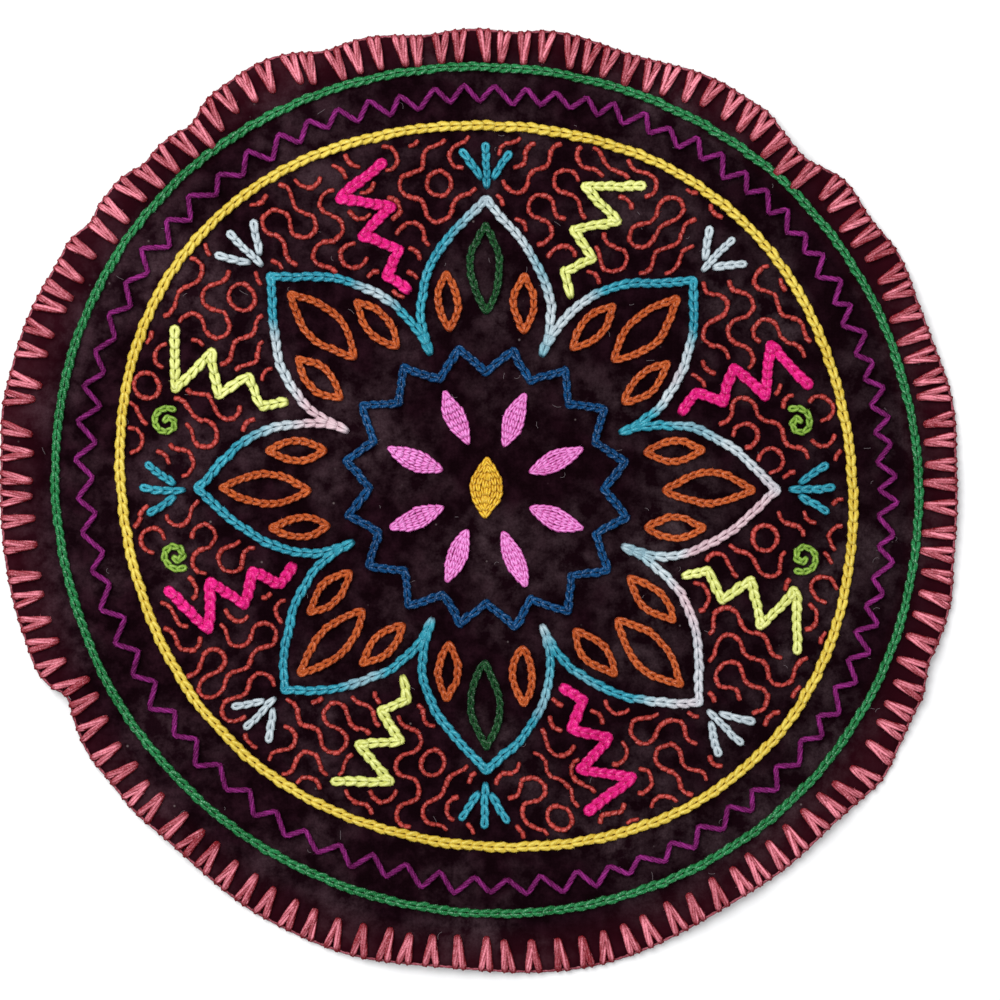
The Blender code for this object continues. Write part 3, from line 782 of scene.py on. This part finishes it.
def dipping_zigzag(corners):
    """The line of the yarn over the cloth, low at each corner and rounded there by its own thickness."""
    line, heights = [], []
    for here, after in zip(corners, corners[1:] + corners[:1]):
        for share, up in PURPLE_LEG:
            line.append(here + (after - here) * share)
            heights.append(up * PURPLE_YARN)
    return on_cloth(line, np.array(heights))


# The purple yarn has few painted glints.
looks = {"glint_strength": 0.15, "toned": 0.35, "depth": 1.5}
purple_yarn = spun_yarn("purple_yarn", (0.030, 0.0002, 0.010), (0.35, 0.030, 0.25), **looks)
corners = purple_corners()
zigzag_line, unbroken = dipping_zigzag(corners), {"closed": True, "Narrowing": 0.0}
purple_zigzag = work_plied("purple_stitches", [zigzag_line], PURPLE_YARN, purple_yarn, 42, **unbroken)
sewn(purple_zigzag, "purple_yarn", "purple_zigzag")
sewn(work_behind("purple_back", [corners], purple_yarn, 43, closed=True), "purple_yarn")

# The petals
# Eight petals in one unbroken line of chain stitch, in a variegated yarn that runs from turquoise
# through ice white to pale pink. Each side is worked from the petal's foot to its tip.
PETALS = 8
HALF_TURN = math.pi / PETALS
PETAL_FOOT = 76.0 * MM
PETAL_TIP = 152.0 * MM
PETAL_ROUNDNESS = 1.2
PETAL_CHAIN = (5.0 * MM, 5.6 * MM)
LONG_STRAY = 0.5 * MM
SHORT_STRAY = 0.3 * MM

# The yarn's colours: the deep one is painted shade between the plies and at the sides, the bright one
# painted light on top; the yarn's own tones lie between them.
TURQUOISE = ((0.006, 0.125, 0.19), (0.06, 0.43, 0.54))
ICE = ((0.30, 0.36, 0.40), (0.66, 0.74, 0.77))
PALE_PINK = ((0.42, 0.26, 0.30), (0.78, 0.58, 0.62))


def drawn(plan):
    """Points of the middle's plain drawing, moved as the yellow ring wanders and as a hand strays."""
    x, y = plan[..., 0], plan[..., 1]
    plan = plan * (wandering(YELLOW_RADIUS, YELLOW_WANDER, np.arctan2(y, x)) / YELLOW_RADIUS)[..., None]
    stray_x = LONG_STRAY * np.sin(y / (12 * MM) + 0.7) + SHORT_STRAY * np.sin((x + y) / (5 * MM))
    stray_y = LONG_STRAY * np.sin(x / (10 * MM) + 2.1) + SHORT_STRAY * np.sin((x - y) / (6 * MM) + 1.3)
    return plan + np.stack((stray_x, stray_y), axis=-1)


def petal_side(petal, hand, steps=24):
    """One side of a petal, from its foot to its tip."""
    share = np.linspace(0, 1, steps)
    spread = HALF_TURN * (1 - share**2) ** PETAL_ROUNDNESS
    radius = PETAL_FOOT + (PETAL_TIP - PETAL_FOOT) * share
    return drawn(polar(radius, 2 * HALF_TURN * petal + hand * spread))


def variegated(tree, place):
    """The deep and bright colours of a yarn that pales from turquoise to ice white and to pale pink."""
    drift = noise(place, 11.0, 1.0)
    icy, rosy = spread_over(drift, 0.50, 0.58), spread_over(drift, 0.62, 0.68)
    return [
        blended(tree, rosy, blended(tree, icy, turquoise, ice), pink)
        for turquoise, ice, pink in zip(TURQUOISE, ICE, PALE_PINK)
    ]


def every_other(first, motif, after=0):
    """A motif's lines at every second petal, or half a petal after it."""
    places = [(2 * i + after) * HALF_TURN for i in range(first, PETALS, 2)]
    return [line for bearing in places for line in motif(bearing)]


petal_yarn = spun_yarn("turquoise_yarn", *TURQUOISE, variegated)
petal_sides = [petal_side(petal, hand) for petal in range(PETALS) for hand in (-1, 1)]
sew_chain("petal_chain", ["petal_outline"], petal_sides, PETAL_CHAIN, petal_yarn, 51)

# The blue zigzag ring
# A ring of sixteen points in blue chain stitch, inside the petals' feet.
BLUE_RADIUS = 68.0 * MM
BLUE_TEETH = 16
BLUE_SWING = 6.5 * MM
BLUE_CHAIN = (4.7 * MM, 5.2 * MM)


def legs(corners, steps=7):
    """The straight runs from corner to corner of a zigzag."""
    share = np.linspace(0, 1, steps)[:, None]
    return [drawn(here + (after - here) * share) for here, after in zip(corners, corners[1:])]


blue_corners = [
    polar(BLUE_RADIUS + (BLUE_SWING if i % 2 else -BLUE_SWING), math.pi * i / BLUE_TEETH)
    for i in range(2 * BLUE_TEETH + 1)
]
blue_yarn = spun_yarn("blue_yarn", (0.0007, 0.010, 0.043), (0.007, 0.084, 0.235))
sew_chain("blue_chain", ["blue_zigzag_ring"], legs(blue_corners), BLUE_CHAIN, blue_yarn, 61)

# The zigzag rays
# Eight zigzags of chain stitch between the petals, lime and magenta in turn, wider as they go out.
# The magenta yarn is the thickest on the mat, and its loops close up.
RAY_FOOT = 110.0 * MM
RAY_TIP = 177.0 * MM
RAY_TEETH = 6
RAY_SWING_FOOT = 2.5 * MM
RAY_SWING_TIP = 15.0 * MM
LIME_CHAIN = (5.4 * MM, 5.4 * MM)
MAGENTA_CHAIN = (6.1 * MM, 4.6 * MM)


def ray_legs(bearing):
    """A ray's runs, from between two petals' feet out towards the yellow ring."""
    along, across = polar(1, bearing), polar(1, bearing + math.pi / 2)
    corners = []
    for i in range(RAY_TEETH + 1):
        share = i / RAY_TEETH
        swing = RAY_SWING_FOOT + (RAY_SWING_TIP - RAY_SWING_FOOT) * share
        side = swing if i % 2 else -swing
        corners.append(along * (RAY_FOOT + (RAY_TIP - RAY_FOOT) * share) + across * side)
    return legs(corners)


lime_legs, magenta_legs = every_other(1, ray_legs, 1), every_other(0, ray_legs, 1)
lime_yarn = spun_yarn("lime_yarn", (0.46, 0.48, 0.08), (0.93, 0.96, 0.37))
magenta_yarn = spun_yarn("magenta_yarn", (0.42, 0.003, 0.08), (0.93, 0.022, 0.29))
lime_rays, magenta_rays = nodes_named("lime_ray"), nodes_named("magenta_ray")
sew_chain("lime_chain", lime_rays, lime_legs, LIME_CHAIN, lime_yarn, 71)
sew_chain("magenta_chain", magenta_rays, magenta_legs, MAGENTA_CHAIN, magenta_yarn, 72, yarn_share=0.55)

# The leaves in the petals
# Each petal holds a long leaf and two small ones in outline, in orange chain stitch. The long leaves
# at the top and bottom of the design are dark green.
PETAL_LEAF_RADIUS = 116.0 * MM
PETAL_LEAF = (46.0 * MM, 16.0 * MM)
DARK_LEAVES = (2, 6)
SIDE_LEAF_RADIUS = 100.0 * MM
SIDE_LEAF_TURN = math.radians(11.5)
SIDE_LEAF_LEAN = math.radians(10.0)
SIDE_LEAF = (30.0 * MM, 11.0 * MM)
LEAF_CHAIN = (4.2 * MM, 4.6 * MM)


def leaf_sides(radius, bearing, size, lean=0.0, steps=12):
    """A pointed leaf's two sides, from foot to tip, with its length along the bearing or leaning off it."""
    length, width = size
    along, across = polar(1, bearing + lean), polar(1, bearing + lean + math.pi / 2)
    share = np.linspace(0, 1, steps)[:, None]
    vein = polar(radius, bearing) + along * length * (share - 0.5)
    return [drawn(vein + across * hand * width / 2 * np.sin(math.pi * share)) for hand in (-1, 1)]


orange_sides, green_sides = [], []
for i in range(PETALS):
    long_leaf = leaf_sides(PETAL_LEAF_RADIUS, 2 * HALF_TURN * i, PETAL_LEAF)
    (green_sides if i in DARK_LEAVES else orange_sides).extend(long_leaf)
    for hand in (-1, 1):
        turned = 2 * HALF_TURN * i + hand * SIDE_LEAF_TURN
        orange_sides += leaf_sides(SIDE_LEAF_RADIUS, turned, SIDE_LEAF, -hand * SIDE_LEAF_LEAN)
orange_yarn = spun_yarn("orange_yarn", (0.24, 0.028, 0.005), (0.64, 0.14, 0.034))
dark_green_yarn = spun_yarn("dark_green_yarn", (0.002, 0.022, 0.0055), (0.018, 0.094, 0.028))
orange_nodes = [f"petal_leaf_{i + 1}" for i in range(PETALS) if i not in DARK_LEAVES]
orange_nodes += nodes_named("left_leaf") + nodes_named("right_leaf")
green_nodes = [f"petal_leaf_{i + 1}" for i in DARK_LEAVES]
sew_chain("orange_leaves", orange_nodes, orange_sides, LEAF_CHAIN, orange_yarn, 81)
sew_chain("green_leaves", green_nodes, green_sides, LEAF_CHAIN, dark_green_yarn, 82)

# The sprays and curls
# At each petal's tip three short bars spread from one foot, in turquoise or ice white. Two of the
# petals have a light green curl at either side. All are chain stitch.
SPRAY_FOOT = 159.0 * MM
SPRAY_BAR = 22.0 * MM
SPRAY_TURN = math.radians(34.0)
SPRAY_CHAIN = (4.4 * MM, 4.8 * MM)
CURLED_PETALS = (0, 4)
CURL_RADIUS = 168.0 * MM
CURL_TURN = math.radians(12.0)
CURL_REACH = (1.6 * MM, 8.0 * MM)
CURL_LAPS = 1.3
CURL_CHAIN = (3.8 * MM, 4.2 * MM)


def spray_bars(bearing, steps=5):
    """The three bars of a spray, from near its foot to their ends."""
    foot = polar(SPRAY_FOOT, bearing)
    bars = []
    for turn in (-SPRAY_TURN, 0.0, SPRAY_TURN):
        start = SPRAY_CHAIN[0] / SPRAY_TURN * 0.8 if turn else 0.0
        reach = np.linspace(start, SPRAY_BAR, steps)[:, None]
        bars.append(drawn(foot + polar(1, bearing + turn) * reach))
    return bars


def curl(bearing, hand, steps=32):
    """A spiral beside a petal's tip, wound to the left or the right."""
    share = np.linspace(0, 1, steps)
    reach = CURL_REACH[0] + (CURL_REACH[1] - CURL_REACH[0]) * share
    turned = bearing + hand * CURL_TURN
    return drawn(polar(CURL_RADIUS, turned) + polar(reach, turned + hand * 2 * math.pi * CURL_LAPS * share))


turquoise_bars, ice_bars = every_other(0, spray_bars), every_other(1, spray_bars)
curls = [curl(2 * HALF_TURN * i, hand) for i in CURLED_PETALS for hand in (-1, 1)]
plain_turquoise = spun_yarn("turquoise_yarn", *TURQUOISE)
ice_yarn = spun_yarn("ice_yarn", *ICE)
leaf_green_yarn = spun_yarn("leaf_green_yarn", (0.09, 0.20, 0.014), (0.36, 0.55, 0.09))
odd_sprays, even_sprays = nodes_named("tip_spray")[::2], nodes_named("tip_spray")[1::2]
curl_nodes = nodes_named("left_curl") + nodes_named("right_curl")
sew_chain("turquoise_sprays", odd_sprays, turquoise_bars, SPRAY_CHAIN, plain_turquoise, 91)
sew_chain("ice_sprays", even_sprays, ice_bars, SPRAY_CHAIN, ice_yarn, 92)
sew_chain("curls", curl_nodes, curls, CURL_CHAIN, leaf_green_yarn, 93)

# The filled leaves
# A gold leaf in the middle and eight pink ones round it. Each is filled with rows of small chain
# stitches side by side, from its foot to its tip.
HEART_LEAF = (34.0 * MM, 17.0 * MM)
DAISY_RADIUS = 39.0 * MM
DAISY_LEAF = (32.0 * MM, 11.5 * MM)
FILL_ROW = 2.9 * MM
FILL_CHAIN = (3.2 * MM, 3.6 * MM)
FILL_SHARE = 0.54
FILL_TAPER = 1.25


def leaf_rows(radius, bearing, size):
    """The rows that fill a leaf: its outline drawn in by half a row, and again by a row each time."""
    length, width = size
    rows = []
    inset = FILL_ROW / 2
    while inset < width / 2:
        shorter = length - 2 * inset * FILL_TAPER
        rows += leaf_sides(radius, bearing, (shorter, width - 2 * inset))
        inset += FILL_ROW
    return rows


gold_rows = leaf_rows(0.0, math.pi / 2, HEART_LEAF)
daisy_bearings = [(2 * i + 1) * HALF_TURN for i in range(PETALS)]
pink_rows = [row for bearing in daisy_bearings for row in leaf_rows(DAISY_RADIUS, bearing, DAISY_LEAF)]
gold_yarn = spun_yarn("gold_yarn", (0.44, 0.17, 0.007), (0.98, 0.66, 0.055))
rose_yarn = spun_yarn("rose_yarn", (0.50, 0.056, 0.28), (0.98, 0.35, 0.82))
daisy = nodes_named("daisy_leaf")
sew_chain("gold_leaf", ["heart_leaf"], gold_rows, FILL_CHAIN, gold_yarn, 111, yarn_share=FILL_SHARE)
sew_chain("pink_leaves", daisy, pink_rows, FILL_CHAIN, rose_yarn, 112, yarn_share=FILL_SHARE)

# The red ground pattern
# Short separate stitches of a red yarn curl over all the ground that the motifs leave free between
# the petals and the yellow ring.
RED_CELL = 13.4 * MM
RED_TO_AN_ARC = 3
RED_WIDTH = 2.6 * MM
RED_HEIGHT = 1.55 * MM
RED_LENGTH = 0.97
RED_CLEAR = 3.6 * MM
RED_WARP = 2.2 * MM
RED_SEED = 121


def short_stitch(pitch):
    """A short stitch that comes up and goes down through the cloth, along +X."""
    gap = (1 - RED_LENGTH) / 2 * pitch
    course = ((0.0, -0.35), (0.16, 0.38), (0.5, 0.52), (0.84, 0.38), (1.0, -0.35))
    points = [(gap + share * (pitch - 2 * gap), 0.0, up * RED_HEIGHT) for share, up in course]
    return yarn_tube("short_stitch", points, RED_WIDTH / 2, RED_HEIGHT / 2)


def petal_reach(plan):
    """How far from the centre the petals' outline is at the bearing of each plan point."""
    bearing = np.arctan2(plan[..., 1], plan[..., 0])
    turn = np.abs((bearing + HALF_TURN) % (2 * HALF_TURN) - HALF_TURN) / HALF_TURN
    return PETAL_FOOT + (PETAL_TIP - PETAL_FOOT) * np.sqrt(1 - turn ** (1 / PETAL_ROUNDNESS))


def red_arcs():
    """Quarter circles, two in each cell of a grid, turned one way or the other by chance. Their ends
    meet on the cells' sides, so that they run on as curls."""
    turned = random.Random(RED_SEED)
    cells = math.ceil(YELLOW_RADIUS / RED_CELL)
    quarter = np.linspace(0, math.pi / 2, RED_TO_AN_ARC + 1)
    arcs = []
    for column in range(-cells, cells):
        for row in range(-cells, cells):
            flip = turned.random() < 0.5
            for x, y, start in ((0, 0, 0), (1, 1, 2)) if flip else ((1, 0, 1), (0, 1, 3)):
                centre = np.array((column + x, row + y)) * RED_CELL
                arcs.append(centre + polar(RED_CELL / 2, quarter + start * math.pi / 2))
    return arcs


def red_stitches(neighbours):
    """The stitches that lie clear of the motifs, the petals and the yellow ring."""
    near = np.concatenate(neighbours)
    kept = []
    for arc in red_arcs():
        x, y = arc.T
        arc = arc + RED_WARP * np.column_stack((np.sin(y / (19 * MM)), np.sin(x / (23 * MM) + 1.0)))
        radius = np.linalg.norm(arc, axis=1)
        ground = (radius > petal_reach(arc) + RED_CLEAR) & (radius < YELLOW_RADIUS - RED_CLEAR)
        arc = drawn(arc)
        apart = np.linalg.norm(arc[:, None] - near[None], axis=2).min(axis=1) > RED_CLEAR
        clear = ground & apart
        runs = [arc[i : i + 2] for i in range(RED_TO_AN_ARC) if clear[i] and clear[i + 1]]
        kept += [on_cloth(run) for run in runs if len(runs) > 1]
    return kept


red_yarn = spun_yarn("red_yarn", (0.15, 0.009, 0.006), (0.62, 0.082, 0.068))
motifs = lime_legs + magenta_legs + turquoise_bars + ice_bars + curls + petal_sides
red_pitch = math.pi / 4 * RED_CELL / RED_TO_AN_ARC
red_stitch, red_paths = short_stitch(red_pitch), red_stitches(motifs)
loose = 2 * UNEVEN_HAND
red_curls = work_stitches("red_curls", red_paths, red_stitch, red_pitch, red_yarn, 122, unevenness=loose)
sewn(red_curls, "orange_yarn")

# The lint
# Short pale hairs that have caught on the cotton. They lie loose on its face, more of them near the
# rim than in the middle.
HAIRS = 110
HAIR_LENGTH = (1.5 * MM, 5.0 * MM)
HAIR_WIDTH = 0.16 * MM
HAIR_BEND = 1.4
HAIR_HEIGHT = 0.12 * MM
HAIR_REACH = 236.0 * MM
HAIR_SEED = 151
HAIR_STEPS = 4


def lint_hairs():
    """Curved slivers, five points long, each with its own place, way, length and bend."""
    fall = random.Random(HAIR_SEED)
    corners, faces = [], []
    for _ in range(HAIRS):
        centre = polar(HAIR_REACH * math.sqrt(fall.random()), fall.uniform(0, 2 * math.pi))
        length, way = fall.uniform(*HAIR_LENGTH), fall.uniform(0, 2 * math.pi)
        bend = fall.uniform(-1, 1) * HAIR_BEND
        here, step_length = centre, length / HAIR_STEPS
        line = []
        for step in range(HAIR_STEPS + 1):
            line.append(here)
            here = here + polar(step_length, way + bend * step / 2)
        line = np.array(line)
        across = np.gradient(line, axis=0)[:, ::-1] * (-1, 1) / step_length * HAIR_WIDTH / 2
        first = len(corners)
        for side in (line - across, line + across):
            corners += on_cloth(side, HAIR_HEIGHT).tolist()
        other = first + HAIR_STEPS + 1
        faces += [(first + i, first + i + 1, other + i + 1, other + i) for i in range(HAIR_STEPS)]
    mesh = bpy.data.meshes.new("lint")
    mesh.from_pydata(corners, [], faces)
    return mesh


lint_mesh = lint_hairs()
lint_mesh.materials.append(soft_finish("pale_lint", 0.9, colour=(0.16, 0.13, 0.14)))
sewn(shown("lint", lint_mesh), "ice_yarn")

# The edge stitching
# Thick pink yarn is sewn over the raw edge in pairs of long stitches that meet in a point inside it,
# and a finer cord of the same yarn runs along the rim under them, coloured darker as painted shade.
CLOTH_RADIUS = 247.3 * MM
WEDGE_LENGTH = 14.4 * MM
WEDGE_LENGTH_SPREAD = 1.0 * MM
WEDGE_BASE = 8.0 * MM
WEDGE_TIP = 4.8 * MM
WEDGE_SHIFT = 0.16
WEDGE_SWAY = 0.5
WEDGE_SPREAD = (0.85, 1.12)
EDGE_SEED = 18
EDGE_YARN = 4.1 * MM
FOOT_SPLAY = 0.65 * MM
RIM_CORD = 1.7 * MM
RIM_CORD_OUT = 0.5 * MM
EDGE_PLY = 0.285
RIM_PLY = 0.34

# A leg's course over the rim: how far in from the edge, as a length and a share of the wedge, and its
# height over the cloth's face in yarn widths.
LEG_COURSE = (
    # in_mm, in_share, up
    (0.6, 0.0, -0.24),
    (-0.35, 0.0, -0.06),
    (0.5, 0.0, 0.32),
    (0.0, 0.35, 0.38),
    (0.0, 0.70, 0.38),
    (-0.3, 1.0, 0.32),
    (0.7, 1.0, -0.20),
)


def wedge_marks():
    """Each wedge's two foot bearings at the rim, its point's bearing and its length, as in the solids."""
    hand = random.Random(EDGE_SEED)
    pitch = 2 * math.pi / WEDGES
    half_base = WEDGE_BASE / CLOTH_RADIUS / 2
    marks = []
    for i in range(WEDGES):
        even = (i + WEDGE_SHIFT * hand.uniform(-1, 1)) * pitch
        middle = crowded(even, WEDGE_CROWD, WEDGE_CROWD_BEARING)
        sway = WEDGE_SWAY * hand.uniform(-1, 1) * half_base
        half = half_base * hand.uniform(*WEDGE_SPREAD)
        length = WEDGE_LENGTH + WEDGE_LENGTH_SPREAD * hand.uniform(-1, 1)
        marks.append((middle - half, middle + half, middle + sway, length))
    return marks


def leg_over_the_rim(foot, point, length):
    """One long stitch, from the back of the cloth over the rim and down at the wedge's point."""
    inside = np.array([in_mm * MM + in_share * length for in_mm, in_share, _ in LEG_COURSE])
    along = np.clip(inside / length, 0, 1)
    bearing = foot + (point - foot) * along
    heights = np.array([up for _, _, up in LEG_COURSE]) * EDGE_YARN
    return on_cloth(polar(edge_radius(bearing) - inside, bearing), heights)


pink_legs, legs_behind = [], []
for left, right, point, length in wedge_marks():
    foot_inset = (EDGE_YARN / 2 - FOOT_SPLAY) / CLOTH_RADIUS
    half_tip = (WEDGE_TIP - EDGE_YARN) / 3 / CLOTH_RADIUS
    pink_legs.append(leg_over_the_rim(left + foot_inset, point - half_tip, length))
    pink_legs.append(leg_over_the_rim(right - foot_inset, point + half_tip, length))
    for foot in (left + foot_inset, right - foot_inset):
        inside = np.array([0.5 * MM, length / 2, length])
        bearing = foot + (point - foot) * inside / length
        legs_behind.append(polar(edge_radius(bearing) - inside, bearing))
rim_bearing = np.arange(2 * WEDGES) * math.pi / WEDGES
rim_line = on_cloth(polar(edge_radius(rim_bearing) + RIM_CORD_OUT, rim_bearing), -0.2 * RIM_CORD)
pink_yarn = spun_yarn("pink_yarn", (0.17, 0.0005, 0.003), (0.98, 0.31, 0.39), toned=0.45, depth=2.3)
edge_points = work_plied("edge_points", pink_legs, EDGE_YARN, pink_yarn, 131, EDGE_PLY, Lay=44 * MM)
sewn(work_behind("edge_points_back", legs_behind, pink_yarn, 133), "pink_yarn")
# The rim cord's yarn is the pink yarn made darker, as painted shade from the legs lying over it.
rim_yarn = spun_yarn("rim_yarn", (0.08, 0.001, 0.004), (0.72, 0.20, 0.26), toned=0.3, depth=1.6)
twisted = {"Plies": 2, "Flatness": 1.0, "Lay": 9 * MM, "Narrowing": 0.0}
rim_cord = work_plied("rim_cord", [rim_line], RIM_CORD, rim_yarn, 132, RIM_PLY, closed=True, **twisted)
for piece in (edge_points, rim_cord):
    sewn(piece, "pink_yarn", "edge_stitching")

# The camera, the lights and the floor
# The mat is seen from straight above, on a plain pale floor, in soft light from the upper left.
CAMERA_HEIGHT = 1.5
VIEW_WIDTH = 0.5219
VIEW_MIDDLE = 0.011
SENSOR = 36.0

camera_data = bpy.data.cameras.new("camera")
camera_data.sensor_width = SENSOR
camera_data.lens = SENSOR * CAMERA_HEIGHT / VIEW_WIDTH
camera = shown("camera", camera_data)
camera.location = (VIEW_MIDDLE, 0.0, CAMERA_HEIGHT)
bpy.context.scene.camera = camera
bpy.context.scene.view_settings.view_transform = "Standard"

for name, place, size, power in (
    ("window", (-1.0, 1.1, 2.0), 1.9, 58.0),
    ("fill", (1.8, -1.4, 1.6), 2.0, 12.0),
):
    lamp = shown(name, bpy.data.lights.new(name, "AREA"))
    lamp.data.size = size
    lamp.data.energy = power
    lamp.location = place
    lamp.rotation_euler = lamp.location.normalized().to_track_quat("Z", "Y").to_euler()
world = bpy.data.worlds.new("studio")
world.use_nodes = True
sky = world.node_tree.nodes["Background"].inputs
sky["Color"].default_value = (0.95, 0.97, 1.0, 1.0)
sky["Strength"].default_value = 0.55
bpy.context.scene.world = world

floor_mesh = bpy.data.meshes.new("floor")
floor_mesh.from_pydata([(-4, -4, 0), (4, -4, 0), (4, 4, 0), (-4, 4, 0)], [], [(0, 1, 2, 3)])
floor_mesh.materials.append(soft_finish("pale_floor", 0.9, 0.5, colour=(0.98, 0.98, 0.975)))
shown("floor", floor_mesh)
